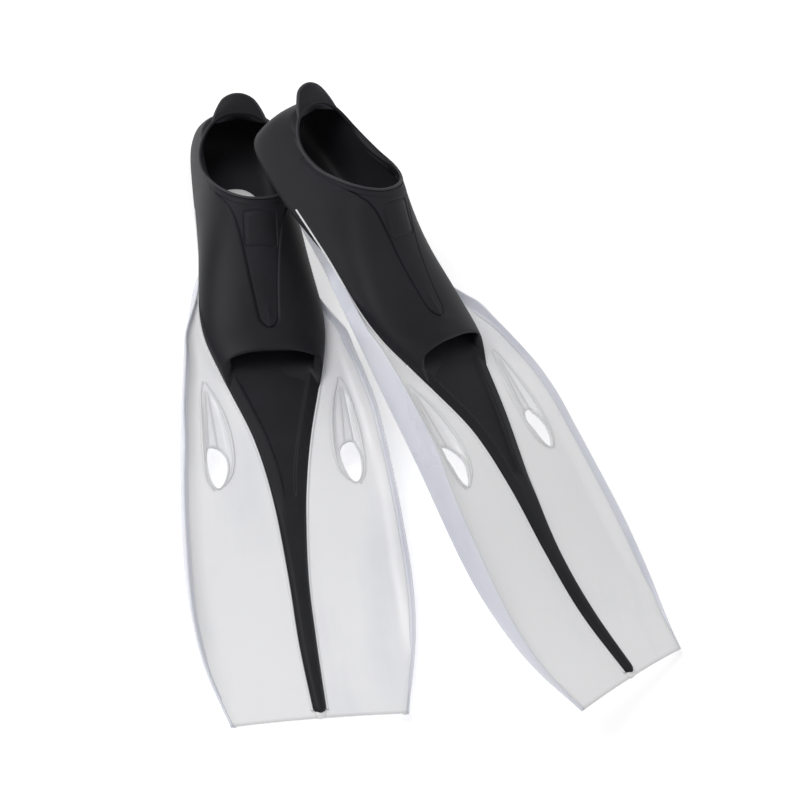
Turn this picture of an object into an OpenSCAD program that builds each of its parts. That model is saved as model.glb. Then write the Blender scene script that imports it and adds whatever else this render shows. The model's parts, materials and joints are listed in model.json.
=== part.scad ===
// A pair of full-foot swim fins. The left fin lies on its heel and blade, and the right fin lies
// across its heel. Millimetres, +Z up, blades towards -Y, z = 0 is the surface that they lie on.

/* [Fin] */
// Length from the heel tab to the end of the blade
fin_l = 604; // [570:2:640]
// Width over the side rails
fin_w = 198; // [186:2:210]

/* [Blade] */
// Thickness of the blade's web
web_t = 2.6; // [2.2:0.1:3.2]
// Thickness of a side rail
rail_t = 5; // [4:0.5:6]
// Height of the rubber tongue's border over the web
tongue_h = 3.4; // [3:0.1:4]
// Distance from the heel to the line about which the blade bends
flex_y = 405; // [398:1:412]
// Gap at the bend, and between parts that pass each other
gap = 0.6; // [0.4:0.1:1]

/* [Foot pocket] */
// Thickness of the rubber around the foot
wall = 3.5; // [3:0.5:4.5]
// Thickness of the sole under the foot
sole_t = 9; // [8.5:0.5:10]
// Radius of the bead round the opening
bead_r = 2.6; // [2.2:0.2:3]
// How far the instep panel stands out
panel_h = 1; // [0.8:0.1:1.4]

/* [Right fin] */
// Where the right fin's heel lies, to the side
right_x = 10.6; // [8:0.2:13]
// Where the right fin's heel lies, along the left fin
right_y = -60.1; // [-64:0.1:-56]
// Height of the right fin's heel
right_z = 101.8; // [101.6:0.2:112]
// Tilt of the right fin, heel up
right_pitch = 7.9; // [7.9:0.1:9]
// Tilt of the right fin, over to one side
right_roll = 21.13; // [20:0.01:22]
// Turn of the right fin away from the left one
right_yaw = 29.09; // [28:0.01:30]

/* [Hidden] */
SIDES = ["left", "right"];
PARTS = [
  "foot_pocket", "collar_bead", "heel_tab", "instep_panel", "badge", "heel_tread", "sole_bars",
  "foot_plate", "blade_root", "blade_tip", "rail_a_root", "rail_a_tip", "rail_b_root",
  "rail_b_tip", "tongue", "rib"
];

rubber = [0.13, 0.13, 0.145];
panel_rubber = [0.17, 0.17, 0.19];
plastic = [0.88, 0.89, 0.92];
// From the left fin's heel to the middle of the pair
centre = [-122, 316, 0];
bar_step = 16;
tread_t = 2.5;
recess_d = 1.8;
border_w = 11.5;
nub_r = 2.4;
// How far below the bead's middle the pocket's wall ends
rim_drop = 0.8;
badge_w = 30;
badge_l = 30;

// Each line is a table of [distance from the heel, value], from heel to tip.
web_line = [[62, 8.2], [100, 12], [170, 21], [230, 27.5], [268, 31.5], [300, 33.5], [348, 33.5],
            [405, 24.5], [472, 12], [533, 7.5], [604, 12.5]];
// The rail's outer lower edge (its x and z) and its top edge
rail_line = [[90, 43], [130, 46.5], [178, 55], [226, 68], [288, 81.5], [318, 86.5], [350, 91],
             [380, 94], [411, 96.5], [440, 98.5], [472, 99], [503, 97.5], [533, 94.5], [570, 87],
             [604, 78]];
rail_low = [[90, 9.4], [130, 14.4], [178, 15.8], [226, 17.4], [288, 17.2], [318, 17], [350, 15.8],
            [380, 12.5], [411, 8.6], [440, 5], [472, 1.8], [503, 0.2], [533, 0.1], [560, 1.8], [604, 9.5]];
rail_top = [[90, 42], [130, 45.5], [178, 53.5], [200, 58], [226, 64], [250, 68.5], [288, 75],
            [318, 80], [350, 84.8], [380, 88], [411, 91.2], [440, 93.7], [472, 95.6], [503, 95.8],
            [533, 93.6], [570, 86.6], [604, 78]];
rail_high = [[90, 21], [130, 25], [178, 28.5], [200, 30], [226, 31.5], [250, 33.5], [288, 37],
             [318, 38.5], [350, 37.5], [380, 32.7], [411, 28.4], [440, 24.4], [472, 19.8], [503, 16],
             [533, 13.6], [560, 13], [604, 15]];
tongue_line = [[268, 49], [288, 44], [349, 25.5], [405, 15], [472, 9.2], [533, 8], [597, 6]];
pocket_w = [[5, 11], [7, 21], [11, 29.5], [18, 35], [30, 39], [48, 42], [76, 44], [105, 45],
            [130, 46.5], [155, 50], [180, 54], [205, 57], [225, 57.5], [245, 55.5], [268, 50]];
pocket_bottom = [[5, 16], [7, 10], [11, 6], [18, 3.5], [30, tread_t], [76, tread_t], [105, 6],
                 [130, 9.5], [170, 15], [205, 18.5], [245, 22.5], [268, 25]];
pocket_top = [[5, 46], [7, 53], [11, 63], [16, 70], [22, 84], [30, 110], [48, 130], [76, 130],
              [102, 112], [121, 94], [128, 91], [137, 86], [150, 79], [166, 72], [185, 65.5],
              [205, 61], [225, 58], [241, 56.5], [262, 58.5], [268, 58]];
rim_half = [[0, 16, 70.6], [27, 25, 66.3], [42, 48.5, 61], [44.5, 77, 65.3], [38.5, 102.5, 77.3],
            [23.5, 121, 87.2], [0, 128, 90.5]];
panel_half = [[45, 60], [48, 76], [46, 92], [40, 112], [33, 129], [27, 143], [22, 165],
              [13, 190], [9.5, 215], [6.5, 236], [3.5, 241], [0, 242]];

ys_pocket = [5, 7, 11, 18, 30, 48, 66, 84, 102, 116, 128, 140, 154, 170, 188, 206, 224, 241, 255,
             268];
ys_root = [178, 200, 226, 256, 288, 318, 348, 378, 388];
ys_tongue = [268, 278, 288, 318, 348, 378, 388];
ys_recess = [278, 288, 318, 348, 378, 386];
ys_tip = [440, 472, 503, 533, 565];
ys_arm = [90, 110, 130, 154];

// Slope of a table at its point i
function slope(t, i) =
  let (a = max(i - 1, 0), b = min(i + 1, len(t) - 1)) (t[b][1] - t[a][1]) / (t[b][0] - t[a][0]);

// The smooth curve through a table, at y
function curve(t, y) =
  let (
    i = max([for (k = [0:len(t) - 2]) if (k == 0 || t[k][0] <= y) k]),
    h = t[i + 1][0] - t[i][0],
    u = min(max((y - t[i][0]) / h, 0), 1)
  )
  t[i][1] * (2 * pow(u, 3) - 3 * pow(u, 2) + 1) + slope(t, i) * h * (pow(u, 3) - 2 * u * u + u)
  + t[i + 1][1] * (3 * pow(u, 2) - 2 * pow(u, 3)) + slope(t, i + 1) * h * (pow(u, 3) - u * u);

wide = fin_w / 198;
function web_z(y) = curve(web_line, y);
function rail_x(y) = curve(rail_line, y) * wide;
hinge_z = web_z(flex_y);
root_end = flex_y - web_t / 2 - gap;
rail_r = hinge_z - curve(rail_low, flex_y);

// ---------------------------------------------------------------- shapes

// Fills between two rings of points
module span(a, b) {
  pts = concat(a, b);
  hull() polyhedron(points = pts, faces = [[for (i = [0:len(pts) - 1]) i]]);
}

// Joins a list of rings into one body
module loft(rings) {
  for (i = [0:len(rings) - 2]) span(rings[i], rings[i + 1]);
}

// An upright rectangle across the fin at y
function plate_ring(y, x0, x1, z0, z1) = [[x0, y, z0], [x1, y, z0], [x1, y, z1], [x0, y, z1]];

// The foot of a rail's section at y, as high as the web
function rail_foot(y) =
  let (x = rail_x(y), z0 = curve(rail_low, y), z1 = web_z(y) + web_t / 2, c = rail_t * 0.35)
  [[x - rail_t, y, z0], [x - c, y, z0], [x, y, z0 + c], [x, y, z1], [x - rail_t, y, z1]];

// The flange of a rail's section at y, which leans in over the web to a thin top edge
function rail_flange(y) =
  let (
    x0 = rail_x(y),
    x1 = curve(rail_top, y) * wide,
    z0 = web_z(y) + web_t / 2,
    z1 = curve(rail_high, y),
    c = rail_t * 0.2
  )
  [[x0 - rail_t, y, z0], [x0, y, z0], [x1, y, z1 - c], [x1 - c, y, z1], [x1 - rail_t * 0.6, y, z1]];

// The foot pocket's section at y, larger by grow, with its bottom raised by lift, drawn at at
function pocket_ring(y, grow, lift, at) =
  let (
    w = curve(pocket_w, y) + grow,
    z0 = curve(pocket_bottom, y) - max(grow, 0) + lift,
    z1 = curve(pocket_top, y) + grow,
    zm = z0 + min(0.38 * (z1 - z0), 26)
  )
  [for (a = [0:12:348])
    let (c = cos(a), s = sin(a), flat = s < 0 ? 0.55 : 0.95, h = s < 0 ? zm - z0 : z1 - zm)
    [w * sign(c) * pow(abs(c), flat), at, zm + h * sign(s) * pow(abs(s), flat)]];

module pocket_body(grow) {
  loft([for (y = ys_pocket) pocket_ring(y, grow, 0, y)]);
}

// The space for the foot, a wall inside the pocket and open at the toes
module foot_space() {
  ys = concat([9, 11, 15, 22, 34], [for (y = ys_pocket) if (y > 40) y], [280]);
  loft([for (y = ys) pocket_ring(y - wall * max(60 - y, 0) / 50, -wall, sole_t, y)]);
}

// Everything over the opening's rim
module over_rim() {
  side = [for (p = rim_half) [p[1], p[2] - rim_drop]];
  rotate([90, 0, 90]) linear_extrude(160, center = true)
    polygon(concat([[-10, 70]], side, [[133, 104], [133, 160], [-10, 160]]));
}

// The rim's point at turn u, from 0 at the heel to 6 at the instep and on to 12
function rim_point(u) =
  let (v = u <= 6 ? u : 12 - u, side = u <= 6 ? 1 : -1)
  [side * curve([for (i = [0:6]) [i, rim_half[i][0]]], v),
   curve([for (i = [0:6]) [i, rim_half[i][1]]], v),
   curve([for (i = [0:6]) [i, rim_half[i][2]]], v)];

module bead() {
  for (i = [0:35]) hull() {
    translate(rim_point(i / 3)) sphere(bead_r, $fn = 8);
    translate(rim_point((i + 1) / 3)) sphere(bead_r, $fn = 8);
  }
}

// The blade's web from y list, out to the rails' inner faces
module web(ys) {
  loft([for (y = ys)
    plate_ring(y, rail_t - rail_x(y), rail_x(y) - rail_t, web_z(y) - web_t / 2, web_z(y) + web_t / 2)]);
}

// A vent, straight on its outer side and round on its inner one
module vent() {
  translate([0, 0, -50]) linear_extrude(150) hull() {
    translate([63, 356]) circle(7, $fn = 32);
    translate([62, 367]) circle(10, $fn = 32);
    translate([67, 382]) circle(4, $fn = 32);
  }
}

module both_sides() {
  children();
  mirror([1, 0, 0]) children();
}

// ---------------------------------------------------------------- one fin, blade towards +Y

module foot_pocket() {
  color(rubber) difference() {
    pocket_body(0);
    foot_space();
    over_rim();
    bead();
    plate_body();
    plate_window();
    heel_tread();
  }
}

module collar_bead() {
  color(rubber) bead();
}

// The pull tab behind the heel
module heel_tab() {
  color(rubber) difference() {
    hull() {
      translate([0, 13, 68]) rotate([0, 90, 0]) cylinder(h = 44, r = 2, center = true, $fn = 24);
      translate([0, 5.6, 72.6]) rotate([0, 90, 0]) cylinder(h = 34, r = 1.7, center = true, $fn = 24);
      translate([0, 1.8, 74]) rotate([0, 90, 0]) cylinder(h = 20, r = 1.5, center = true, $fn = 24);
    }
    pocket_body(0);
    bead();
  }
}

module panel_outline() {
  polygon(concat(panel_half, [for (i = [len(panel_half) - 2:-1:0]) [-panel_half[i][0], panel_half[i][1]]]));
}

module instep_panel() {
  color(panel_rubber) intersection() {
    difference() {
      pocket_body(panel_h);
      pocket_body(0);
      over_rim();
      bead();
    }
    translate([0, 0, 34]) linear_extrude(150) panel_outline();
  }
}

// The blank badge on the instep panel
module badge() {
  color(rubber) intersection() {
    difference() {
      pocket_body(panel_h + 0.7);
      pocket_body(panel_h);
    }
    translate([-badge_w / 2, 136.5, 50]) cube([badge_w, badge_l, 60]);
  }
}

// The flat heel tread, on which the fin lies
module heel_tread() {
  color(rubber) linear_extrude(tread_t) hull() {
    translate([0, 44]) circle(24, $fn = 64);
    translate([0, 66]) square([48, 20], center = true);
  }
}

// The grip bars across the sole
module sole_bars() {
  color(rubber) for (y = [112:bar_step:240])
    span(plate_ring(y, -34, 34, curve(pocket_bottom, y) - 1.8, curve(pocket_bottom, y)),
         plate_ring(y + 7, -34, 34, curve(pocket_bottom, y + 7) - 1.8, curve(pocket_bottom, y + 7)));
}

// The blade's plate under the foot, which shows through the insole's window
module plate_body() {
  loft([for (y = [62, 66, 74, 90, 120, 150, 178, 200, 226, 256, 268])
    let (w = 36 * sqrt(min((y - 58) / 34, 1)))
    plate_ring(y, -w, w, web_z(y) - web_t / 2, web_z(y) + web_t / 2)]);
}

module foot_plate() {
  color(plastic) plate_body();
}

module plate_window() {
  translate([0, 116, 0]) scale([0.55, 1]) translate([0, 0, 7]) linear_extrude(40) circle(50, $fn = 48);
}

module blade_root() {
  color(plastic) difference() {
    web(concat(ys_root, [root_end]));
    pocket_body(0);
    both_sides() vent();
  }
}

module blade_tip() {
  color(plastic) {
    web(concat([flex_y], ys_tip, [fin_l]));
    translate([0, flex_y, hinge_z]) rotate([0, 90, 0])
      cylinder(h = 2 * (rail_x(flex_y) - rail_t), r = web_t / 2, center = true, $fn = 16);
    translate([0, 597 + gap, web_z(fin_l) + web_t / 2 - 0.5]) linear_extrude(3.6)
      scale([1, 1.3]) intersection() {
        circle(nub_r, $fn = 24);
        translate([-5, 0]) square(10);
      }
  }
}

module rail(ys) {
  loft([for (y = ys) rail_foot(y)]);
  loft([for (y = ys) rail_flange(y)]);
}

// One rail from the heel to the bend
module rail_root() {
  color(plastic) difference() {
    rail(concat(ys_arm, ys_root, [flex_y - rail_r - gap]));
    pocket_body(0);
  }
}

// One rail from the bend to the tip, round about the bend's own line
module rail_tip() {
  color(plastic) {
    rail(concat([flex_y], ys_tip, [fin_l]));
    intersection() {
      translate([rail_x(flex_y) - rail_t, flex_y, hinge_z]) rotate([0, 90, 0])
        cylinder(h = rail_t * 0.9, r = rail_r, $fn = 32);
      translate([0, flex_y - 40, 0]) cube([200, 40, curve(rail_high, flex_y) + 1]);
    }
  }
}

// The tongue's or rib's section at y, its top over the web
function tongue_ring(y, inset, z0, z1) =
  let (w = curve(tongue_line, y) - inset, z = web_z(y) + web_t / 2)
  [[-w, y, z + z0], [w, y, z + z0], [w, y, z + z1 * 0.6], [w - 1.5, y, z + z1],
   [1.5 - w, y, z + z1], [-w, y, z + z1 * 0.6]];

// The rubber tongue before the toes, sunk between raised borders
module tongue() {
  color(rubber) difference() {
    loft([for (y = ys_tongue) tongue_ring(y, 0, 0, tongue_h)]);
    loft([for (y = concat([260], ys_recess)) tongue_ring(y, border_w, tongue_h - recess_d, 9)]);
  }
}

// The rubber rib down the middle of the blade
module rib() {
  color(rubber) {
    loft([for (y = concat([flex_y + 3], ys_tip, [580, 594])) tongue_ring(y, 0, 0, 4.6)]);
    span(tongue_ring(594, 0, 0, 4.6), tongue_ring(597, 2, 0, 3.6));
  }
}

// ---------------------------------------------------------------- the pair

module one_part(name) {
  if (name == "foot_pocket") foot_pocket();
  if (name == "collar_bead") collar_bead();
  if (name == "heel_tab") heel_tab();
  if (name == "instep_panel") instep_panel();
  if (name == "badge") badge();
  if (name == "heel_tread") heel_tread();
  if (name == "sole_bars") sole_bars();
  if (name == "foot_plate") foot_plate();
  if (name == "blade_root") blade_root();
  if (name == "blade_tip") blade_tip();
  if (name == "rail_a_root") rail_root();
  if (name == "rail_a_tip") rail_tip();
  if (name == "rail_b_root") mirror([1, 0, 0]) rail_root();
  if (name == "rail_b_tip") mirror([1, 0, 0]) rail_tip();
  if (name == "tongue") tongue();
  if (name == "rib") rib();
}

module place(side) {
  if (side == "left") translate(centre) rotate([0, 0, 180]) children();
  if (side == "right")
    translate(centre + [right_x, right_y, right_z])
      rotate([right_pitch, right_roll, right_yaw]) rotate([0, 0, 180]) children();
}

for (s = SIDES) for (p = PARTS) place(s) one_part(p);
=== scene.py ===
"""A pair of full-foot swim fins: black rubber foot pockets on milky white blades.

Each fin is worked out in its own millimetres (x across, y from the heel to the tip, z up) and then
placed in the row frame, where the frame's joints and mounts say that the fin lies.
"""
import json
import math

import bpy
import numpy as np
from mathutils import Euler, Matrix, Vector
from mathutils.bvhtree import BVHTree
from mathutils.kdtree import KDTree


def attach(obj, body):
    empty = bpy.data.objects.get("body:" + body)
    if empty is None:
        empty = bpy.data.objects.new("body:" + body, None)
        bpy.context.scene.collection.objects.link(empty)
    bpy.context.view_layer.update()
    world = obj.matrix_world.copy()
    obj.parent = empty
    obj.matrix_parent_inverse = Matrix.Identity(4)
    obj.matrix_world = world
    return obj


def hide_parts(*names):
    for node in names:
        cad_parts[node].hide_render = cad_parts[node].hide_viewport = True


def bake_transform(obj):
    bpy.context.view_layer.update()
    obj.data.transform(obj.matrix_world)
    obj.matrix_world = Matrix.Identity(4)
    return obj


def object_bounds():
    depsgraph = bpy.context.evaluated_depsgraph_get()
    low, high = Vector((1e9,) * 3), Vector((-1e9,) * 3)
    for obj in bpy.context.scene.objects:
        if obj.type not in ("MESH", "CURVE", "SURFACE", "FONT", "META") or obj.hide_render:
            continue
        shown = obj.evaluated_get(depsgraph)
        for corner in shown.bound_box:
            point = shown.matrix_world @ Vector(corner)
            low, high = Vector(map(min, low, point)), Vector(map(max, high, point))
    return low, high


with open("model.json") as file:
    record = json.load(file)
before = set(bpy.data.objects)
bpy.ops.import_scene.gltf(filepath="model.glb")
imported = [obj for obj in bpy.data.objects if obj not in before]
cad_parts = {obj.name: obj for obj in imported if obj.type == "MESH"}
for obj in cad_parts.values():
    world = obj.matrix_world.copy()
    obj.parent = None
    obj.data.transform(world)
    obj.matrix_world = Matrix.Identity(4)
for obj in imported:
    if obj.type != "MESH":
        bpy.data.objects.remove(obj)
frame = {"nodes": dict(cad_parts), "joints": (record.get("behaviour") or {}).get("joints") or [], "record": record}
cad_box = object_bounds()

MM = 0.001
SIDES = ("left", "right")

# ------------------------------------------------------------------ the fin's sizes, in millimetres

FLEX_Y, FLEX_Z = 405, 24.5  # where the blade's joint lies
WEB_T = 2.6
WEB_START, WEB_BY_TOES = 178, 264  # where the web starts beside the pocket, and under the toes
GRID_END = 604  # where the blade's tables and grids end, before tip_y shapes the end
VENT_ROWS = (282, 394)  # the stretch with the vents, where the web's grid is closer
LIP_ENDS = (285, 390)  # where the raised lines beside a vent start and end
RIB_START, RIB_FULL = 400, 430
RIB_ROUND, RIB_ROUND_LONG = 592, 7  # where the rib's end starts to round off, and over what length
RAIL_START, RAIL_FULL = 90, 104  # where a rail starts, and where it has its full section
RIM_MID, RIM_HALF, RIM_WIDE, RIM_POWER = 72, 56, 44.6, 0.85
WALL, SOLE_T = 3.5, 9
TIP_Y, TIP_CORNER = 602.8, 1.8

# Each table is [distance from the heel, value], from heel to tip.
WEB = [[62, 8.2], [100, 12], [170, 21], [230, 27.5], [268, 31.5], [300, 33.5], [348, 33.5],
       [405, 24.5], [472, 12], [533, 7.5], [604, 12.5]]
# The rail's outer lower edge and its top edge, each [distance, x, z]
RAIL_LOW = [[90, 33, 4], [130, 37.5, 4], [150, 41.5, 5.5], [165, 51, 11.5], [180, 57, 14],
            [200, 62.5, 16], [226, 69, 17.4], [250, 74.3, 17.6], [288, 81.2, 17.2], [318, 86.2, 17],
            [350, 90.7, 15.8], [380, 93.7, 12.5], [411, 96.2, 8.6], [440, 98, 5], [472, 98.3, 1.8],
            [503, 96.8, 0.5], [533, 93.6, 0.5], [560, 88.6, 2.2], [585, 82.2, 6], [604, 77.8, 9.5]]
RAIL_TOP = [[90, 42.2, 19], [130, 45.2, 21], [150, 47.4, 22.5], [165, 50.4, 24.5], [180, 53.8, 26.5],
            [200, 60.5, 29.5], [226, 71.3, 36.5], [240, 76, 41.7], [260, 79, 44.5], [288, 84, 47.2],
            [318, 89, 48.6], [350, 92, 47], [380, 95.5, 40.8], [411, 98, 35.2], [440, 99.6, 30.5],
            [472, 100.6, 25.4], [503, 100, 20], [533, 96.8, 15.8], [560, 91, 13.2],
            [585, 83.8, 12.8], [604, 78.2, 13.8]]
FILLET = [[200, 8], [240, 11], [288, 15], [350, 16], [411, 18], [604, 16]]
TONGUE = [[250, 51], [268, 49], [288, 44], [349, 25.5], [405, 15], [472, 9.2], [533, 8], [597, 6]]
POCKET_W = [[4, 0], [5, 14], [6.5, 24], [8.5, 30], [11, 33.5], [18, 37.5], [30, 40], [48, 41.5],
            [76, 43], [105, 45], [130, 47.5], [155, 50.5], [180, 54], [205, 57], [225, 57.5],
            [245, 55.5], [268, 50], [288, 44], [306, 38.6]]
POCKET_LOW = [[4, 30], [5, 16], [8, 9], [14, 4.5], [24, 2.5], [50, 2.5], [76, 2.5], [105, 6],
              [130, 9.5], [170, 15], [205, 18.5], [245, 22.5], [270, 26], [306, 29.5]]
POCKET_HIGH = [[4, 34], [5, 46], [7, 53], [11, 63], [16, 71], [30, 100], [48, 118], [76, 120],
               [102, 108], [121, 94], [128, 91], [137, 86], [150, 79], [166, 72], [185, 65.5],
               [205, 61], [225, 58], [241, 57], [263.6, 58.1], [306, 56]]
RIM_Z = [[16, 70.6], [25, 66.3], [48.5, 61], [77, 65.3], [102.5, 77.3], [121, 87.2], [128, 90.5]]


def smooth(low, high, x):
    """0 up to low, 1 from high, and a smooth step between them."""
    t = np.clip((np.asarray(x, float) - low) / (high - low), 0, 1)
    return t * t * (3 - 2 * t)


def curve(table, at):
    """The smooth curve through a table of [position, value]."""
    t = np.array(table, float)
    x, v = t[:, 0], t[:, 1:]
    slope = np.empty_like(v)
    slope[1:-1] = (v[2:] - v[:-2]) / (x[2:] - x[:-2])[:, None]
    slope[0] = (v[1] - v[0]) / (x[1] - x[0])
    slope[-1] = (v[-1] - v[-2]) / (x[-1] - x[-2])
    at = np.asarray(at, float)
    i = np.clip(np.searchsorted(x, at, side="right") - 1, 0, len(x) - 2)
    h = (x[i + 1] - x[i])[..., None]
    u = np.clip((at - x[i])[..., None] / h, 0, 1)
    out = (v[i] * (2 * u**3 - 3 * u**2 + 1) + slope[i] * h * (u**3 - 2 * u**2 + u)
           + v[i + 1] * (3 * u**2 - 2 * u**3) + slope[i + 1] * h * (u**3 - u**2))
    return out[..., 0] if v.shape[1] == 1 else out


def along(points, at):
    """Points at shares of the length of the smooth curve through points."""
    p = np.array(points, float)
    reach = np.concatenate([[0], np.cumsum(np.linalg.norm(np.diff(p, axis=0), axis=1))])
    return curve(np.column_stack([reach / reach[-1], p]), at)


def spline_weights(u):
    """The four weights of a uniform cubic B-spline."""
    return [(1 - u)**3 / 6, (3 * u**3 - 6 * u**2 + 4) / 6, (3 * u + 3 * u**2 - 3 * u**3 + 1) / 6,
            u**3 / 6]


def closed_spline(points, count):
    """Evenly spaced points on the closed B-spline along the first axis of points."""
    at = np.linspace(0, len(points), count, endpoint=False)
    pad = np.concatenate([points[-1:], points, points[:2]])
    i = np.floor(at).astype(int)
    shape = (-1,) + (1,) * (points.ndim - 1)
    return sum(w.reshape(shape) * pad[i + k] for k, w in enumerate(spline_weights(at - i)))


def signed_power(value, power):
    """A power of the size of each value, with the value's own sign."""
    return np.sign(value) * np.abs(value)**power


class Surface:
    """A smooth surface over rings of control points: theta runs round a ring, v from ring to ring."""

    def __init__(self, rings):
        self.rings = rings

    def at(self, theta, v):
        """Points at matching arrays of theta and v."""
        theta, v = np.broadcast_arrays(np.asarray(theta, float), np.asarray(v, float))
        rows, count = self.rings.shape[:2]
        c = self.rings
        c = np.concatenate([2 * c[:1] - c[1:2], c, 2 * c[-1:] - c[-2:-1]])
        a = (theta / (2 * math.pi) * count) % count
        b = np.clip(v, 0, 1) * (rows - 1)
        i, j = np.floor(a).astype(int), np.minimum(np.floor(b).astype(int), rows - 2)
        wa, wb = spline_weights(a - i), spline_weights(b - j)
        out = 0
        for m in range(4):
            for n in range(4):
                out = out + (wa[m] * wb[n])[..., None] * c[j + n, (i + m - 1) % count]
        return out

    def normal(self, theta, v):
        """Outward unit normals at matching arrays of theta and v."""
        step = 0.004
        across = self.at(theta + step, v) - self.at(theta - step, v)
        down = self.at(theta, np.minimum(v + step, 1)) - self.at(theta, np.maximum(v - step, 0))
        n = np.cross(down, across)
        return n / np.maximum(np.linalg.norm(n, axis=-1, keepdims=True), 1e-9)


# ------------------------------------------------------------------ meshes

def fin_matrix(side):
    """From a fin's own millimetres to the row frame."""
    joint = next(j for j in frame["joints"] if j["name"] == side + "_blade_flex")
    mouth = next(m for m in frame["record"]["mounts"] if m["name"] == side + "_foot_pocket_mouth")
    x = Vector(joint["axis"]).normalized()
    z = Vector(mouth["axis"])
    z = (z - x * z.dot(x)).normalized()
    y = z.cross(x)
    origin = Vector(joint["pos_m"]) - (y * FLEX_Y + z * FLEX_Z) * MM
    turn = Matrix((x, y, z)).transposed() * MM
    return Matrix.Translation(origin) @ turn.to_4x4()


PLACE = {side: fin_matrix(side) for side in SIDES}


class Shape:
    """Vertices in a fin's millimetres and faces, gathered from closed shells."""

    def __init__(self):
        self.verts, self.faces, self.count = [], [], 0

    def add(self, verts, faces):
        """Adds a shell, whose faces count from its own first vertex."""
        verts = np.asarray(verts, float).reshape(-1, 3)
        self.faces += [tuple(int(k) + self.count for k in f) for f in faces]
        self.verts.append(verts)
        self.count += len(verts)
        return self

    def mirrored(self):
        """The mirror image of this shape across the fin's middle plane."""
        verts = np.concatenate(self.verts)
        return Shape().add(verts * [-1, 1, 1], [f[::-1] for f in self.faces])

    def tree(self):
        """A tree for casting rays at this shape."""
        return BVHTree.FromPolygons([Vector(v) for v in np.concatenate(self.verts)], self.faces)

    def build(self, name, side, material):
        """A new smooth object of this shape on the left or the right fin."""
        mesh = bpy.data.meshes.new(name)
        m = np.array(PLACE[side])
        verts = np.concatenate(self.verts) @ m[:3, :3].T + m[:3, 3]
        mesh.from_pydata(verts.tolist(), [], self.faces)
        mesh.materials.append(material)
        mesh.update()
        mesh.polygons.foreach_set("use_smooth", [True] * len(mesh.polygons))
        obj = bpy.data.objects.new(side + "_" + name, mesh)
        bpy.context.scene.collection.objects.link(obj)
        return obj


def grid_faces(rows, cols, wrap_rows=False, wrap_cols=False):
    """Quads of a grid of rows by cols vertices."""
    r = np.arange(rows if wrap_rows else rows - 1)[:, None]
    c = np.arange(cols if wrap_cols else cols - 1)[None, :]
    r2, c2 = (r + 1) % rows, (c + 1) % cols
    quads = np.stack([r * cols + c, r * cols + c2, r2 * cols + c2, r2 * cols + c], -1)
    return quads.reshape(-1, 4).tolist()


def loft(loops):
    """A closed shell over closed loops of points, with a fan over each end."""
    loops = np.asarray(loops, float)
    n, m = loops.shape[:2]
    verts = np.concatenate([loops.reshape(-1, 3), [loops[0].mean(0), loops[-1].mean(0)]])
    faces = grid_faces(n, m, wrap_cols=True)
    last = (n - 1) * m
    for k in range(m):
        after = (k + 1) % m
        faces.append([after, k, n * m])
        faces.append([last + k, last + after, n * m + 1])
    return verts, faces


def slab(upper, lower):
    """A closed shell between two grids of points."""
    rows, cols = upper.shape[:2]
    n = rows * cols
    quads = grid_faces(rows, cols)
    faces = [f[::-1] for f in quads] + [[k + n for k in f] for f in quads]
    edge = [r * cols for r in range(rows)] + [(rows - 1) * cols + c for c in range(1, cols)]
    edge += [r * cols + cols - 1 for r in range(rows - 2, -1, -1)] + list(range(cols - 2, 0, -1))
    for p, q in zip(edge, edge[1:] + edge[:1]):
        faces.append([p, q, q + n, p + n])
    return np.concatenate([upper.reshape(-1, 3), lower.reshape(-1, 3)]), faces


def tube(path, radius, sides, closed=False):
    """A round bead along a path, as a closed shell or, along a closed path, as a ring."""
    path = np.asarray(path, float)
    ahead = np.roll(path, -1, 0) - np.roll(path, 1, 0) if closed else np.gradient(path, axis=0)
    ahead /= np.linalg.norm(ahead, axis=1, keepdims=True)
    side = np.cross(ahead, [0, 0, 1.0])
    side /= np.linalg.norm(side, axis=1, keepdims=True)
    up = np.cross(side, ahead)
    a = np.linspace(0, 2 * math.pi, sides, endpoint=False)
    r = np.broadcast_to(np.asarray(radius, float), len(path))[:, None, None]
    loops = path[:, None] + r * (np.cos(a)[None, :, None] * side[:, None]
                                 + np.sin(a)[None, :, None] * up[:, None])
    if closed:
        return loops.reshape(-1, 3), grid_faces(len(path), sides, True, True)
    return loft(loops)


# ------------------------------------------------------------------ the foot pocket

def half_width(y, z, inset, lift):
    """Half the pocket's width at y and z, from a section that is round above and squarer below."""
    w = np.maximum(curve(POCKET_W, y) - inset, 0)
    low = curve(POCKET_LOW, y) + lift
    high = np.maximum(curve(POCKET_HIGH, y) - inset, low + 2)
    middle = low + np.minimum(0.38 * (high - low), 26)
    above = z > middle
    share = np.where(above, (z - middle) / (high - middle), (middle - z) / (middle - low))
    power = np.where(above, 0.95, 0.4 + 0.15 * smooth(80, 150, y))
    return w * np.maximum(1 - np.clip(share, 0, 1)**(2 / power), 0)**(power / 2)


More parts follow.
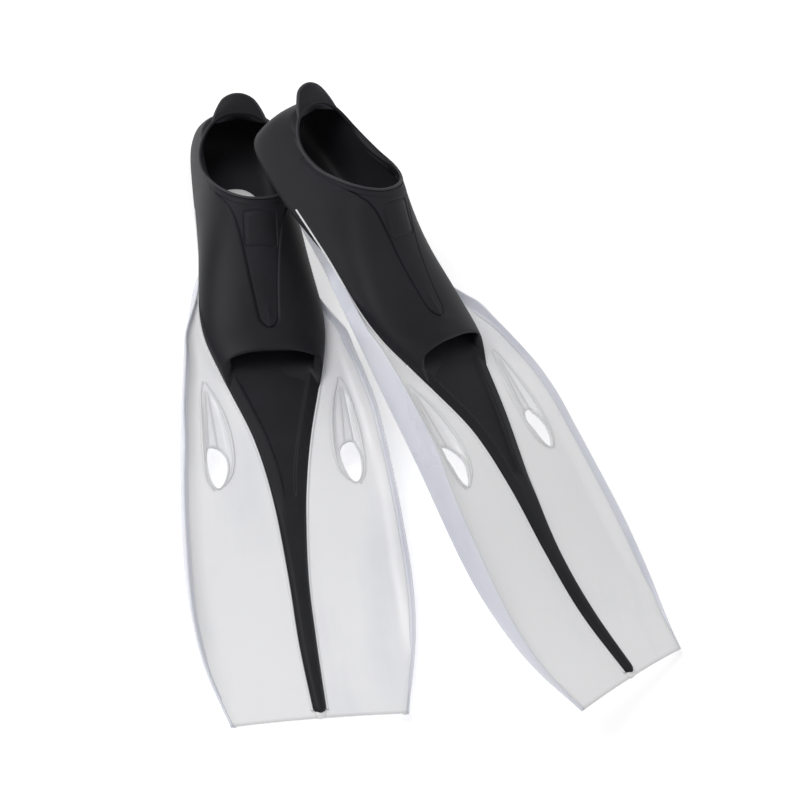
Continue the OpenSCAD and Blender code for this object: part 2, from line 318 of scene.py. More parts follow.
def pocket_surface(back, top, toe, rim_inset, inset, lift, widths=None):
    """The pocket's outer or inner surface, in rings from the opening's rim to the toes.
    back, top and toe are its outlines from the side: heel and sole, instep, and toe end. inset and
    lift move its section in and up, rim_inset its rim, and widths keeps it within a half width."""
    rings, count = 34, 40
    v = np.linspace(0, 1, rings)[:, None, None]**1.35
    theta = np.arange(count) * 2 * math.pi / count
    s = ((1 - np.cos(theta)) / 2)[None, :, None]
    rim_y = RIM_MID - (RIM_HALF - rim_inset) * np.cos(theta)
    rim = np.stack([rim_y, curve(RIM_Z, rim_y) - rim_inset * 0.3], -1)[None]
    end = along(toe, s[0, :, 0])[None]
    low, high = along(back, v[:, 0, 0])[:, None], along(top, v[:, 0, 0])[:, None]
    corners = ((1 - s) * (1 - v) * rim[:, :1] + s * (1 - v) * rim[:, count // 2:count // 2 + 1]
               + (1 - s) * v * end[:, :1] + s * v * end[:, count // 2:count // 2 + 1])
    yz = (1 - v) * rim + v * end + (1 - s) * low + s * high - corners
    x = half_width(yz[..., 0], yz[..., 1], inset, lift)
    if widths is not None:
        x = np.minimum(x, curve(widths, yz[..., 0]))
    x = x * np.where(theta > math.pi, -1, 1) * np.where(np.sin(theta)**2 < 1e-9, 0, 1)
    x[0] = (RIM_WIDE - rim_inset) * signed_power(np.sin(theta), RIM_POWER)
    return Surface(np.concatenate([x[..., None], yz], -1))


OUTER = pocket_surface(
    [[16, 70.6], [10.5, 63], [6.5, 53], [4.6, 43], [4, 30], [4.8, 17], [8.5, 8.5], [16, 3.8],
     [28, 2], [50, 2], [76, 2], [105, 5.5], [130, 9], [170, 14.5], [205, 18], [245, 22], [270, 25.5],
     [306, 29.5]],
    [[128, 90.5], [137, 86.3], [150, 79.3], [166, 72.2], [185, 65.7], [205, 61.2], [225, 58.4],
     [241, 57.4], [255, 57.6], [263.6, 58.1]],
    [[306, 29.5], [301, 34], [288, 38.5], [274, 44.5], [267, 52], [263.6, 58.1]], 0, 0, 0)
INNER = pocket_surface(
    [[19.5, 70], [14.5, 62.5], [10.5, 53], [8.6, 43], [8.2, 32], [9.5, 23], [13.5, 16], [22, 12],
     [34, 11.5], [76, 11.5], [105, 15], [130, 18.5], [170, 24], [205, 27.5], [240, 29.5], [258, 29.5],
     [282, 29.5]],
    [[124.5, 89], [137, 82], [150, 75.3], [166, 68.5], [185, 62], [205, 57.5], [225, 54.7],
     [241, 53.6], [266, 54.2]],
    [[282, 29.5], [278, 37.5], [271.5, 46.5], [266, 54.2]], WALL, WALL, SOLE_T,
    [[10, 60], [215, 54], [235, 50], [255, 43.5], [268, 39.5], [282, 36.5]])

# Half the width of the instep panel, from the ends of its collar to its round end
PANEL_HALF = [[60, 47.5], [76, 46.5], [92, 43.5], [104, 39], [116, 33.5], [130, 26.5], [143, 21.5],
              [160, 17.5], [180, 14.5], [205, 11.5], [228, 9.2], [234, 8.6]]
PANEL_ROUND, PANEL_Y = 234, 243  # where its end starts to round off, and where it ends
PANEL_UP, PANEL_GROOVE = 0.45, 1.1
PANEL_SEAT = 1.4  # how deep the pocket is sunk under the panel


def panel_table():
    """Half the angle that the panel takes of the pocket's rings, as [v, angle]."""
    angle = np.linspace(0, 2.1, 700)
    table = []
    for v in np.linspace(0.004, 1, 400):
        p = OUTER.at(math.pi - angle, v)
        y = np.clip(p[:, 1], 60, PANEL_ROUND)
        end = np.sqrt(np.clip((PANEL_Y - p[:, 1]) / (PANEL_Y - PANEL_ROUND), 0, 1))
        half = curve(PANEL_HALF, y) * end
        within = (np.abs(p[:, 0]) < half) & (p[:, 1] > 62)
        if not within[0]:
            break
        table.append([v, angle[within.argmin() - 1]])
    return table


PANEL_ANGLE = panel_table()
PANEL_END = PANEL_ANGLE[-1][0]


def panel_angle(v):
    """Half the panel's angle at v."""
    t = np.array(PANEL_ANGLE)
    return np.interp(v, t[:, 0], t[:, 1])


def panel_outline():
    """A tree of points along the panel's two edges."""
    v = np.linspace(0, PANEL_END, 900)
    line = np.concatenate([OUTER.at(math.pi + s * panel_angle(v), v) for s in (-1, 1)])
    tree = KDTree(len(line))
    for k, p in enumerate(line):
        tree.insert(p, k)
    tree.balance()
    return tree


PANEL_TREE = panel_outline()


def panel_edge(points):
    """Each point's distance to the panel's edges."""
    flat = [PANEL_TREE.find(p)[2] for p in points.reshape(-1, 3)]
    return np.array(flat).reshape(points.shape[:-1])


def pocket_shape():
    """The pocket as one closed shell: outside, toe edge, inside and rim."""
    across, rows, inner_rows, edge_rows = 250, 240, 60, 7
    turn = np.arange(across) / across * 2 * math.pi
    theta = turn + 0.55 * np.sin(turn)
    v = np.linspace(0, 1, rows)
    tt, vv = np.meshgrid(theta, v)
    outside = OUTER.at(tt, vv)
    normal = OUTER.normal(tt, vv)
    near = panel_edge(outside)
    inside = (np.abs(tt - math.pi) < panel_angle(vv)) & (vv < PANEL_END)
    depth = np.where(inside, PANEL_SEAT, PANEL_GROOVE * np.exp(-(near / 1.15)**2))
    outside = outside - normal * depth[..., None] * smooth(0, 0.01, vv)[..., None]
    inside_v = np.linspace(1, 0, inner_rows)
    tt2, vv2 = np.meshgrid(theta, inside_v)
    inner = INNER.at(tt2, vv2)
    k = (np.arange(1, edge_rows) / edge_rows)[:, None, None]
    toe = (1 - k) * outside[-1] + k * inner[0]
    toe[..., 1] += 1.2 * np.sin(math.pi * k[..., 0])
    rim = (1 - k) * inner[-1] + k * outside[0]
    rim[..., 2] += 1.6 * np.sin(math.pi * k[..., 0])
    rings = np.concatenate([outside, toe, inner, rim])
    faces = grid_faces(len(rings), across, True, True)
    return Shape().add(rings, faces)


def panel_shape():
    """The raised panel over the instep, from the opening's rim to its round end."""
    rows, cols = 300, 90
    v = np.linspace(0.012, PANEL_END, rows)
    a = np.sin(np.linspace(-math.pi / 2, math.pi / 2, cols))[None, :]
    half = panel_angle(v)[:, None]
    theta, vv = math.pi + a * half, np.broadcast_to(v[:, None], (len(v), cols))
    base, normal = OUTER.at(theta, vv), OUTER.normal(theta, vv)
    edge = panel_edge(base)
    t = np.clip(edge / 1.6, 0, 1)
    height = PANEL_UP * np.sqrt(1 - (1 - t)**2) - PANEL_GROOVE * (1 - smooth(0, 0.9, edge))
    x, y = base[..., 0], base[..., 1]
    gap = badge_distance(x, y)
    height = height - 0.8 * np.exp(-(gap / 0.75)**2)
    top = base + normal * height[..., None]
    return Shape().add(*slab(top, base - normal * 2.2))


# ------------------------------------------------------------------ small rubber parts

BADGE_MID, BADGE_HALF, BADGE_CORNER = (0, 151.3), (14.9, 14.6), 3.0


def badge_distance(x, y):
    """Distance to the badge's rounded outline, less than 0 inside it."""
    dx = np.abs(x - BADGE_MID[0]) - (BADGE_HALF[0] - BADGE_CORNER)
    dy = np.abs(y - BADGE_MID[1]) - (BADGE_HALF[1] - BADGE_CORNER)
    outside = np.hypot(np.maximum(dx, 0), np.maximum(dy, 0))
    return outside + np.minimum(np.maximum(dx, dy), 0) - BADGE_CORNER


def badge_shape(tree):
    """The blank badge, a pad with a rounded outline on the panel."""
    rings, around = 14, 96
    a = np.linspace(0, 2 * math.pi, around, endpoint=False)
    cx, cy = signed_power(np.cos(a), 0.32), signed_power(np.sin(a), 0.32)
    scale = np.sin(np.linspace(0.02, math.pi / 2, rings))
    loops = []
    for s in scale:
        x = BADGE_MID[0] + cx * s * (BADGE_HALF[0] - 0.7)
        y = BADGE_MID[1] + cy * s * (BADGE_HALF[1] - 0.7)
        z = [tree.ray_cast(Vector((p, q, 200)), Vector((0, 0, -1)))[0].z for p, q in zip(x, y)]
        loops.append(np.column_stack([x, y, np.array(z) + 0.35 - 1.0 * s**14]))
    loops.append(loops[-1] - [0, 0, 1.2])
    return Shape().add(*loft([l[::-1] for l in loops]))


TAB_WIDE = [[0, 26], [0.3, 22.8], [0.6, 18.6], [0.85, 14.6], [1, 12]]
TAB_ROUND = 0.76  # the share of the tab's height where its top starts to round over
LIP_IN = 1.8
LIP_RADIUS = 1.55


def tab_half(b):
    """Half the pull tab's width at its share b from the rim to the top."""
    top = np.sqrt(np.clip(1 - (np.clip(b - TAB_ROUND, 0, 1) / 0.241)**2.8, 0, 1))
    return curve(TAB_WIDE, b) * top


def tab_middle(x, b):
    """The middle of the tab's thickness at x and at share b: it runs on from the rim."""
    rim = np.clip(1 - (np.abs(x) / (RIM_WIDE - LIP_IN))**(2 / RIM_POWER), 0, 1)
    rim_y = RIM_MID - (RIM_HALF - LIP_IN) * np.sqrt(rim)
    y0, z0 = rim_y, curve(RIM_Z, rim_y)
    y1, z1 = 0.8 + 0.01 * x**2, 75.4 - 0.012 * x**2
    y = y0 + (y1 - y0) * b
    z = z0 + (z1 - z0) * b + 1.5 * np.sin(math.pi * b)
    return y, z


def lip_path():
    """The edge of the foot opening: round the rim, and up and over the pull tab."""
    start = math.asin((26 / (RIM_WIDE - LIP_IN))**(1 / RIM_POWER))
    theta = np.linspace(start, 2 * math.pi - start, 220)
    y = RIM_MID - (RIM_HALF - LIP_IN) * np.cos(theta)
    x = (RIM_WIDE - LIP_IN) * signed_power(np.sin(theta), RIM_POWER)
    rim = np.column_stack([x, y, curve(RIM_Z, y) + 0.2])
    straight = np.linspace(0, TAB_ROUND, 20)[1:]
    over = TAB_ROUND + (1 - TAB_ROUND) * np.sin(np.linspace(0, math.pi / 2, 16))[1:]
    b = np.concatenate([straight, over])
    b = np.concatenate([b, b[-2::-1]])
    side = np.where(np.arange(len(b)) < len(b) // 2, -1, 1)
    x = side * tab_half(b)
    y, z = tab_middle(x, b)
    return np.concatenate([rim, np.column_stack([x, y, z])])


def bead_shape():
    """The thin lip round the foot opening and the tab, coloured with the rim's painted highlight."""
    path = lip_path()
    smoothed = (np.roll(path, 1, 0) + 2 * path + np.roll(path, -1, 0)) / 4
    return Shape().add(*tube(smoothed, LIP_RADIUS, 12, closed=True))


def tab_shape():
    """The pull tab: a flap that runs on from the heel's rim, up and back."""
    around = 48
    straight = np.linspace(-0.04, TAB_ROUND, 34)[:-1]
    over = TAB_ROUND + (1 - TAB_ROUND) * np.sin(np.linspace(0, 1.5, 16))
    b = np.concatenate([straight, over])
    a = np.linspace(0, 2 * math.pi, around, endpoint=False)
    loops = []
    for share in b:
        wide = float(tab_half(max(share, 0.0)))
        x = wide * np.cos(a)
        y, z = tab_middle(x, share)
        off = 1.45 * signed_power(np.sin(a), 0.6) * min(1, wide / 5)
        loops.append(np.column_stack([x, y - 0.3 * off, z + 0.95 * off]))
    return Shape().add(*loft(loops))


# ------------------------------------------------------------------ the blade

# The outline of a vent and the lines beside it on the blade's +x half, each point [x, y]
VENT = [[67.2, 349.2], [69.8, 357], [70.5, 368], [69.7, 378], [66.9, 385.6], [62.6, 388.4], [58.2, 385],
        [54.6, 378], [52.2, 368.5], [52.4, 358.8], [56.4, 351.6], [62.2, 348.4]]
OUTER_LIP = [[63.8, 284.5], [66.4, 292], [68.6, 303], [70.4, 318], [72, 335], [73.1, 352], [73.4, 368],
             [72, 381], [66.8, 390.6]]
INNER_LIP = [[61.6, 285], [59.4, 291], [55.4, 301], [51.8, 312], [49.2, 323], [47.3, 335], [46.3, 347],
             [46.2, 358], [47.4, 369], [50.6, 378.5], [57, 386.5]]
CREASE_A = [[63.6, 294], [66.6, 346]]
CREASE_B = [[61.4, 294], [58.6, 348]]


def closed_outline(points, count):
    """Points on a smooth closed curve through points."""
    n = len(points)
    table = [[k, *points[k % n]] for k in range(-2, n + 3)]
    return curve(table, np.linspace(0, n, count, endpoint=False))


VENT_LINE = closed_outline(VENT, 240)


def inside_outline(points, x, y):
    """Whether each point lies inside a closed outline."""
    inside = np.zeros(np.shape(x), bool)
    for (x0, y0), (x1, y1) in zip(points, np.roll(points, -1, 0)):
        crosses = (y0 > y) != (y1 > y)
        with np.errstate(divide="ignore", invalid="ignore"):
            inside ^= crosses & (x < (x1 - x0) * (y - y0) / (y1 - y0) + x0)
    return inside


def web_mid(x, y):
    """The middle height of the blade's web at x and y."""
    x = np.abs(x)
    z = curve(WEB, y)
    top = curve(RAIL_TOP, y)
    wide = curve(FILLET, y)
    near = np.clip((x - (top[..., 0] - 2 - wide)) / wide, 0, 1)
    z = z + np.maximum(top[..., 1] - 3.4 - z, 0) * near**2 * smooth(225, 275, y)
    outer = curve([[q, p] for p, q in OUTER_LIP], np.clip(y, *LIP_ENDS))
    inner = curve([[q, p] for p, q in INNER_LIP], np.clip(y, 285.5, 386))
    between = np.minimum(outer - x, x - inner)
    sink = 5.4 * smooth(286, 346, y) * (1 - smooth(350, 372, y)) * smooth(0, 5, between)
    return z - sink * ((y > LIP_ENDS[0]) & (y < LIP_ENDS[1]))


def tip_y(x):
    """Where the blade ends at x: its corners reach a little further than its middle."""
    return TIP_Y + TIP_CORNER * (np.abs(x) / 78)**2


def web_grid():
    """Across and along positions of the web's grid, closer round the vents."""
    a = np.concatenate([np.linspace(0, 0.42, 9)[:-1], np.linspace(0.42, 0.9, 54)[:-1],
                        np.linspace(0.9, 1, 7)])
    a = np.concatenate([-a[:0:-1], a])
    b = np.concatenate([np.linspace(WEB_START, VENT_ROWS[0], 24)[:-1],
                        np.linspace(*VENT_ROWS, 118)[:-1],
                        np.linspace(VENT_ROWS[1], GRID_END, 60)])
    return a, b


def cut_vents(x, y):
    """The grid's x and y with the vertices round the vents moved on to their outline, and the quads
    that are left outside the vents."""
    quads = np.array(grid_faces(*x.shape))
    gone = inside_outline(VENT_LINE, np.abs(x), y).ravel()[quads].any(1)
    kept = quads[~gone]
    flat_x, flat_y = x.flatten(), y.flatten()
    for k in np.intersect1d(quads[gone], kept):
        away = np.hypot(VENT_LINE[:, 0] - abs(flat_x[k]), VENT_LINE[:, 1] - flat_y[k])
        best = VENT_LINE[away.argmin()]
        flat_x[k], flat_y[k] = math.copysign(best[0], flat_x[k]), best[1]
    return flat_x.reshape(x.shape), flat_y.reshape(y.shape), kept


def sheet_shell(top, low, quads):
    """A closed shell between two sheets of vertices that have the same quads."""
    used, where = np.unique(quads, return_inverse=True)
    quads = where.reshape(quads.shape)
    n = len(used)
    faces = quads.tolist() + (quads[:, ::-1] + n).tolist()
    sides = dict.fromkeys((p, q) for f in quads.tolist() for p, q in zip(f, f[1:] + f[:1]))
    for p, q in sides:
        if (q, p) not in sides:
            faces.append([q, p, p + n, q + n])
    return np.concatenate([top[used], low[used]]), faces


def vent_ring():
    """The path of the bead round a vent, a little outside its hole."""
    away = VENT_LINE - VENT_LINE.mean(0)
    path = VENT_LINE + away / np.linalg.norm(away, axis=1)[:, None] * 0.75
    return np.column_stack([path, web_mid(VENT_LINE[:, 0], VENT_LINE[:, 1]) + WEB_T / 2 - 0.3])


def web_shape():
    """The web of the blade with its vents, sunk channels, lips and the bright edge by the rubber."""
    a, b = web_grid()
    bb, aa = np.meshgrid(b, a, indexing="ij")
    x = aa * (curve(RAIL_TOP, bb)[..., 0] - 2)
    start = WEB_START + (WEB_BY_TOES - WEB_START) * (1 - smooth(40, 54, np.abs(x)))
    y = np.maximum(bb, start)
    y = y + smooth(560, GRID_END, bb) * (tip_y(x) - GRID_END)
    x, y, kept = cut_vents(x, y)
    mid = web_mid(x, y)
    top = np.stack([x, y, mid + WEB_T / 2], -1).reshape(-1, 3)
    low = np.stack([x, y, mid - WEB_T / 2], -1).reshape(-1, 3)
    shape = Shape().add(*sheet_shell(top, low, kept))
    for path, radius in lip_paths():
        for sign in (1, -1):
            shape.add(*tube(path * [sign, 1, 1], radius, 8))
    for sign in (1, -1):
        shape.add(*tube(vent_ring() * [sign, 1, 1], 0.95, 8, closed=True))
    return shape


def on_web(points, count, up):
    """A path on the web's upper face through points of x and y."""
    p = along(points, np.linspace(0, 1, count))
    return np.column_stack([p, web_mid(p[:, 0], p[:, 1]) + WEB_T / 2 + up])


def lip_paths():
    """Each raised line on the web, as its path and its radius along it."""
    fade = np.sin(np.linspace(0.12, math.pi - 0.25, 90))**0.5
    outer = on_web(OUTER_LIP, 90, -0.35)
    inner = on_web(INNER_LIP, 90, -0.35)
    crease = np.sin(np.linspace(0.2, math.pi - 0.6, 40))**0.6
    a, b = on_web(CREASE_A, 40, -0.45), on_web(CREASE_B, 40, -0.45)
    y = np.linspace(268, 596, 160)
    x = curve(TONGUE, y) + 0.7
    edge = np.column_stack([x, y, web_mid(x, y) + WEB_T / 2 + 0.5])
    y = np.linspace(92, 268, 110)
    z = curve([[92, 20], [130, 22.5], [178, 25.5], [226, 29.6], [268, 33.4]], y)
    side = np.column_stack([half_width(y, z, 0, 0) + 0.2, y, z])
    return [(outer, 1.3 * fade), (inner, 1.5 * fade), (a, 0.8 * crease), (b, 0.8 * crease),
            (edge, 1.15), (side, 0.9)]


def rail_shape():
    """One side rail: a thin wall that stands nearly upright, with the web's joint on its inner face."""
    y = np.concatenate([np.linspace(RAIL_START, 170, 24)[:-1], np.linspace(170, GRID_END, 130)])
    low, top = curve(RAIL_LOW, y), curve(RAIL_TOP, y)
    joint_z = web_mid(top[:, 0] - 3, y)
    joint_z = np.minimum(np.maximum(joint_z, low[:, 1] + 2), top[:, 1] - 2.5)
    x0, z0, x1, z1 = low[:, 0], low[:, 1], top[:, 0], top[:, 1]
    bow = 0.9 * smooth(170, 230, y)
    out = [(x0 - 1.2, z0 - 0.1), (x0 + 0.1, z0 + 0.5), (0.7 * x0 + 0.3 * x1 + bow, 0.7 * z0 + 0.3 * z1),
           (0.35 * x0 + 0.65 * x1 + bow, 0.35 * z0 + 0.65 * z1), (x1 + 0.2, z1 - 1.2), (x1 - 0.1, z1 + 0.1),
           (x1 - 1.5, z1 + 0.1), (x1 - 2.0, z1 - 1.1), (x1 - 2.6, joint_z + 1.5), (x1 - 4.5, joint_z + 0.8),
           (x1 - 5.5, joint_z), (x1 - 4.5, joint_z - 1.0), (x1 - 2.4, joint_z - 1.6),
           (0.5 * x0 + 0.5 * x1 - 2.6, 0.5 * z0 + 0.5 * joint_z), (x0 - 2.8, z0 + 0.9), (x0 - 2.4, z0 + 0.1)]
    control = np.stack([np.column_stack([px, y, pz]) for px, pz in out])
    loops = closed_spline(control, 48).transpose(1, 0, 2)
    loops[..., 1] += smooth(596, GRID_END, y)[:, None] * (tip_y(x1)[:, None] - GRID_END)
    shrink = 1 - 0.75 * (1 - smooth(RAIL_START, RAIL_FULL, y))
    middle = loops.mean(1, keepdims=True)
    loops = middle + (loops - middle) * shrink[:, None, None]
    return Shape().add(*loft(loops[:, ::-1]))


BORDER = 11.5  # the width of the tongue's raised borders
TONGUE_FLOOR, TONGUE_SUNK = 1.9, 0.9


def tongue_shape():
    """The rubber tongue before the toes, sunk between raised borders, and the rib that it becomes."""
    y = np.concatenate([np.linspace(255, 415, 150)[:-1], np.linspace(415, RIB_ROUND, 70)[:-1],
                        RIB_ROUND + RIB_ROUND_LONG * np.sin(np.linspace(0, math.pi / 2, 14))])
    end = np.sqrt(np.clip(1 - ((y - RIB_ROUND) / (RIB_ROUND_LONG + 0.05))**2, 0.0, 1))
    wide = curve(TONGUE, y) * np.where(y > RIB_ROUND, end, 1)
    cols = 73
    a = np.sin(np.linspace(-math.pi / 2, math.pi / 2, cols))[None, :]
    x = wide[:, None] * a
    edge = wide[:, None] - np.abs(x)
    base = web_mid(0 * y, y)[:, None] + WEB_T / 2
    rise = curve([[255, 4.2], [300, 3.8], [405, 4.4], [500, 4.8], [597, 4.4]], y)[:, None]
    border = np.minimum(BORDER * np.ones_like(y), wide * 0.62)[:, None]
    round_in = 2.4 + 2.6 * smooth(380, 430, y)[:, None]
    t = np.clip(edge / round_in, 0, 1)
    top = rise * (1 - (1 - t)**2)**0.5
    crest = smooth(0, 1, np.clip(edge / border, 0, 1))
    rib = smooth(RIB_START, RIB_FULL, y)[:, None]
    top = top * (0.62 + 0.38 * crest * (1 - rib) + 0.38 * rib)
    recess = smooth(0.0, 1.5, edge - border) * (1 - smooth(392, 403, y)[:, None])
    top = top * (1 - recess) + TONGUE_FLOOR * recess
    dome = 0.9 * rib * (1 - (x / np.maximum(wide[:, None], 0.1))**2)
    upper = np.stack([x, np.broadcast_to(y[:, None], x.shape), base + top + dome - 0.2], -1)
    lower = np.stack([x, np.broadcast_to(y[:, None], x.shape), base + 0 * x - TONGUE_SUNK], -1)
    return Shape().add(*slab(upper[:, ::-1], lower[:, ::-1]))


def nub_shape():
    """The small white nub of the blade beyond the rib."""
    loops = []
    base = float(web_mid(0, 600.0)) + WEB_T / 2
    a = np.linspace(0, 2 * math.pi, 24, endpoint=False)
    for t in np.linspace(0, math.pi / 2 - 0.05, 8):
        r = math.cos(t)
        loops.append(np.column_stack([5.2 * r * np.cos(a), 599.4 + 4.6 * r * np.sin(a),
                                      base - 0.8 + 3.2 * math.sin(t) + 0 * a]))
    return Shape().add(*loft(loops))


WINDOW_HALF, WINDOW_Y = (29, 50), 115


def window_shape(tree):
    """The blade's plate that shows through the oval window of the insole."""
    loops = []
    a = np.linspace(0, 2 * math.pi, 96, endpoint=False)
    for s in np.concatenate([np.linspace(0.03, 0.9, 16), [0.96, 1.0]]):
        x = WINDOW_HALF[0] * s * signed_power(np.cos(a), 0.8)
        y = WINDOW_Y + WINDOW_HALF[1] * s * np.sin(a)
        z = [tree.ray_cast(Vector((p, q, 44)), Vector((0, 0, -1)))[0].z for p, q in zip(x, y)]
        loops.append(np.column_stack([x, y, np.array(z) + 0.7 - 0.9 * (s > 0.95) * (s - 0.95) * 20]))
    loops.append(loops[-1] - [0, 0, 2.0])
    return Shape().add(*loft([l[::-1] for l in loops]))


# ------------------------------------------------------------------ materials

def node_material(name):
    """A new material with its node tree, its Principled shader and a function that adds a node."""
    material = bpy.data.materials.new(name)
    material.use_nodes = True
    tree = material.node_tree
    shader = tree.nodes["Principled BSDF"]

    def add(kind, **values):
        node = tree.nodes.new(kind)
        for key, value in values.items():
            if key in node.inputs:
                node.inputs[key].default_value = value
            else:
                setattr(node, key, value)
        return node

    return material, tree.links, shader, add


def ramp(add, links, source, stops):
    """Colours by a source value."""
    node = add("ShaderNodeValToRGB")
    elements = node.color_ramp.elements
    while len(elements) < len(stops):
        elements.new(0.5)
    for element, (at, colour) in zip(elements, stops):
        element.position, element.color = at, (*colour, 1)
    links.new(source, node.inputs["Fac"])
    return node.outputs["Color"]


def uneven_gloss(add, links, shader, source, low, high):
    """A roughness that goes from low to high with a source value."""
    gloss = add("ShaderNodeMapRange", **{"From Min": 0.3, "From Max": 0.7, "To Min": low, "To Max": high})
    links.new(source, gloss.inputs["Value"])
    links.new(gloss.outputs["Result"], shader.inputs["Roughness"])


def fine_bump(add, links, shader, source, strength, distance):
    """A bump that follows a source value."""
    bump = add("ShaderNodeBump", Strength=strength, Distance=distance)
    links.new(source, bump.inputs["Height"])
    links.new(bump.outputs["Normal"], shader.inputs["Normal"])


def rubber(name, dark, light, rough):
    """Matte moulded rubber: slow tone changes, a fine eroded grain and slightly paler edges."""
    material, links, shader, add = node_material(name)
    place_node = add("ShaderNodeTexCoord")
    slow = add("ShaderNodeTexNoise", Scale=14.0, Detail=4.0, Roughness=0.55)
    links.new(place_node.outputs["Object"], slow.inputs["Vector"])
    tone = ramp(add, links, slow.outputs["Fac"], [(0.35, dark), (0.68, light)])
    geometry = add("ShaderNodeNewGeometry")
    # Paler on sharp convex edges, by the mesh's pointiness.
    edge_pale = add("ShaderNodeMapRange", **{"From Min": 0.53, "From Max": 0.62, "To Max": 0.5})
    links.new(geometry.outputs["Pointiness"], edge_pale.inputs["Value"])
    mix = add("ShaderNodeMix", data_type="RGBA")
    links.new(edge_pale.outputs["Result"], mix.inputs["Factor"])
    links.new(tone, mix.inputs["A"])
    mix.inputs["B"].default_value = (*[min(c * 2.6, 1) for c in light], 1)
    links.new(mix.outputs["Result"], shader.inputs["Base Color"])
    grain = add("ShaderNodeTexNoise", Scale=1500.0, Detail=2.0, Roughness=0.6)
    links.new(place_node.outputs["Object"], grain.inputs["Vector"])
    uneven_gloss(add, links, shader, slow.outputs["Fac"], rough - 0.05, rough + 0.07)
    fine_bump(add, links, shader, grain.outputs["Fac"], 0.12, 0.0002)
    shader.inputs["Specular IOR Level"].default_value = 0.22
    return material


def milky(name, dark, light, rough, scatter):
    """Milky plastic: soft clouds, flow lines drawn out along y, a faint ripple and some scattering."""
    material, links, shader, add = node_material(name)
    place_node = add("ShaderNodeTexCoord")
    stretch = add("ShaderNodeMapping", Scale=(1.0, 0.16, 1.0))
    links.new(place_node.outputs["Object"], stretch.inputs["Vector"])
    flow = add("ShaderNodeTexNoise", Scale=26.0, Detail=5.0, Roughness=0.5)
    links.new(stretch.outputs["Vector"], flow.inputs["Vector"])
    cloud = add("ShaderNodeTexNoise", Scale=9.0, Detail=3.0, Roughness=0.5)
    links.new(place_node.outputs["Object"], cloud.inputs["Vector"])
    blend = add("ShaderNodeMath", operation="ADD")
    links.new(flow.outputs["Fac"], blend.inputs[0])
    links.new(cloud.outputs["Fac"], blend.inputs[1])
    tone = ramp(add, links, blend.outputs["Value"], [(0.6, dark), (1.0, light)])
    links.new(tone, shader.inputs["Base Color"])
    uneven_gloss(add, links, shader, cloud.outputs["Fac"], rough - 0.05, rough + 0.08)
    fine_bump(add, links, shader, flow.outputs["Fac"], 0.08, 0.0006)
    shader.inputs["Subsurface Weight"].default_value = scatter
    shader.inputs["Subsurface Radius"].default_value = (1.0, 1.0, 1.1)
    shader.inputs["Subsurface Scale"].default_value = 0.006
    return material


POCKET = rubber("pocket_rubber", (0.012, 0.012, 0.0145), (0.019, 0.019, 0.0235), 0.52)
PANEL = rubber("panel_rubber", (0.0125, 0.0125, 0.016), (0.02, 0.02, 0.0255), 0.56)
BADGE = rubber("badge_rubber", (0.0125, 0.0125, 0.0155), (0.019, 0.019, 0.024), 0.5)
TREAD = rubber("sole_rubber", (0.01, 0.01, 0.012), (0.016, 0.016, 0.019), 0.62)
TONGUE_RUBBER = rubber("tongue_rubber", (0.012, 0.012, 0.0145), (0.019, 0.019, 0.0235), 0.52)
# The lip is coloured paler than the pocket's rubber: a painted highlight along the rim of the foot opening and the
# tab.
LIP_PAINTED_HIGHLIGHT = rubber("lip_painted_highlight", (0.035, 0.035, 0.039), (0.055, 0.055, 0.062), 0.5)
BLADE = milky("blade_plastic", (0.83, 0.835, 0.87), (0.93, 0.93, 0.945), 0.34, 0.3)
RAILS = milky("rail_plastic", (0.6, 0.615, 0.69), (0.73, 0.74, 0.81), 0.3, 0.3)

# ------------------------------------------------------------------ the pieces


def finish_piece(obj, side, replaced, bends=False):
    """Attaches a piece to its fin's body, or with bends bakes its placement into its mesh, and hides the CAD nodes
    that it stands for.
    """
    if bends:
        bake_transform(obj)
    else:
        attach(obj, side + "_fin")
    if replaced:
        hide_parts(*[side + "_" + node for node in replaced])


pocket = pocket_shape()
pocket_tree = pocket.tree()
panel = panel_shape()
RIGID = [
    ("foot_pocket_shell", pocket, POCKET, "pocket_rubber", ["foot_pocket"]),
    ("collar_lip", bead_shape(), LIP_PAINTED_HIGHLIGHT, "pocket_rubber", ["collar_bead"]),
    ("pull_tab", tab_shape(), POCKET, "pocket_rubber", ["heel_tab"]),
    ("instep_panel_skin", panel, PANEL, "panel_rubber", ["instep_panel"]),
    ("badge_pad", badge_shape(panel.tree()), BADGE, "badge_rubber", ["badge"]),
    ("insole_window", window_shape(pocket_tree), BLADE, "blade_plastic", ["foot_plate"]),
]
rail = rail_shape()
BENDING = [
    ("blade_web", web_shape(), BLADE, "blade_plastic", ["blade_root", "blade_tip"]),
    ("rail_a", rail, RAILS, "rail_plastic", ["rail_a_root", "rail_a_tip"]),
    ("tongue_and_rib", tongue_shape(), TONGUE_RUBBER, "tongue_rubber", ["tongue", "rib"]),
    ("tip_nub", nub_shape(), BLADE, "blade_plastic", []),
    ("rail_b", rail.mirrored(), RAILS, "rail_plastic", ["rail_b_root", "rail_b_tip"]),
]

for side in SIDES:
    for name, shape, material, slot, replaced in RIGID:
        finish_piece(shape.build(name, side, material), side, replaced)
    for name, shape, material, slot, replaced in BENDING:
        finish_piece(shape.build(name, side, material), side, replaced, bends=True)
    for node in ("heel_tread", "sole_bars"):
        obj = frame["nodes"][side + "_" + node]
        obj.data.materials.clear()
        obj.data.materials.append(TREAD)

# ------------------------------------------------------------------ floor, light and camera

FLOOR_Z = cad_box[0].z


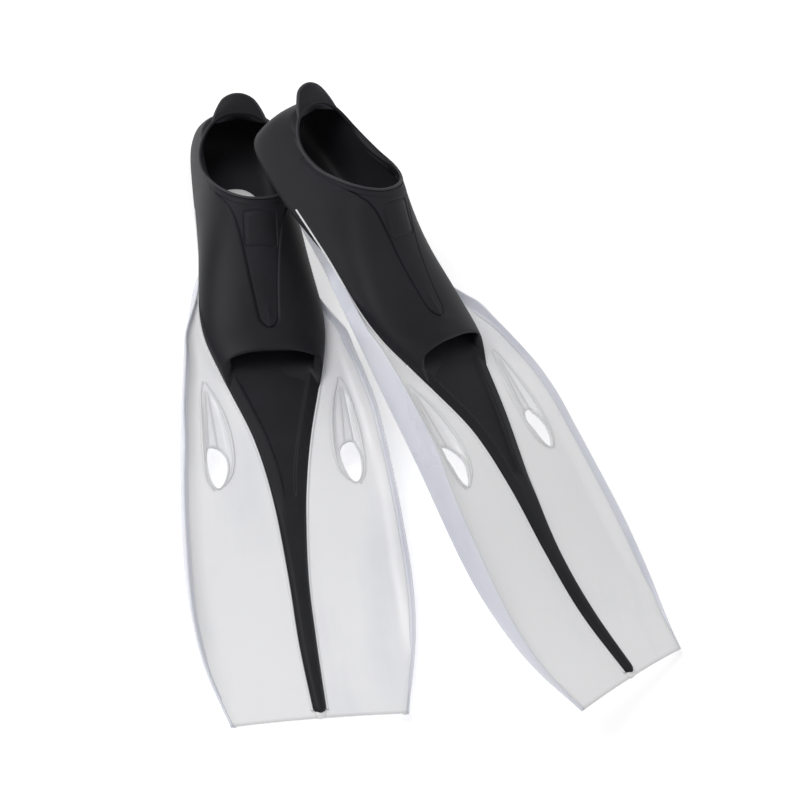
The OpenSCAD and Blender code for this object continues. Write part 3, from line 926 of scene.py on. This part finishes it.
def add_floor():
    """A plain pale floor under the fins."""
    size = 6.0
    mesh = bpy.data.meshes.new("floor")
    corners = [(x * size, y * size, FLOOR_Z - 0.0005) for x, y in ((-1, -1), (1, -1), (1, 1), (-1, 1))]
    mesh.from_pydata(corners, [], [(0, 1, 2, 3)])
    floor = bpy.data.objects.new("floor", mesh)
    bpy.context.scene.collection.objects.link(floor)
    material, links, shader, add = node_material("floor_white")
    noise = add("ShaderNodeTexNoise", Scale=3.0, Detail=2.0)
    tone = ramp(add, links, noise.outputs["Fac"], [(0.3, (0.93, 0.93, 0.935)), (0.7, (0.95, 0.95, 0.95))])
    links.new(tone, shader.inputs["Base Color"])
    shader.inputs["Roughness"].default_value = 0.9
    shader.inputs["Specular IOR Level"].default_value = 0.1
    shader.inputs["Emission Color"].default_value = (1, 1, 1, 1)
    shader.inputs["Emission Strength"].default_value = 0.42
    floor.data.materials.append(material)


def add_light(name, place_at, target, size, power):
    """A square area light at a place, turned to a target."""
    light = bpy.data.lights.new(name, "AREA")
    light.shape, light.size, light.energy = "SQUARE", size, power
    obj = bpy.data.objects.new(name, light)
    obj.location = place_at
    obj.rotation_euler = (Vector(target) - Vector(place_at)).to_track_quat("-Z", "Y").to_euler()
    bpy.context.scene.collection.objects.link(obj)


def add_world():
    """An even white surround."""
    world = bpy.data.worlds.new("studio")
    bpy.context.scene.world = world
    world.use_nodes = True
    background = world.node_tree.nodes["Background"]
    background.inputs["Color"].default_value = (1, 1, 1, 1)
    background.inputs["Strength"].default_value = 0.42


def add_camera():
    """The photo's view: from above, on the tips' side and a little to the left."""
    camera = bpy.data.cameras.new("camera")
    camera.lens, camera.sensor_width = 108, 36
    obj = bpy.data.objects.new("camera", camera)
    obj.location = (-0.6335, -0.9644, 1.9005)
    obj.rotation_euler = Euler([math.radians(a) for a in (28.963, -13.619, -9.868)], "XYZ")
    bpy.context.scene.collection.objects.link(obj)
    bpy.context.scene.camera = obj


bpy.context.scene.view_settings.view_transform = "Standard"
add_floor()
add_world()
add_light("key", (-1.4, 0.6, 2.2), (0, 0, 0.05), 1.4, 31)
add_light("fill", (1.6, -0.8, 1.8), (0, 0, 0.05), 1.6, 5)
add_camera()
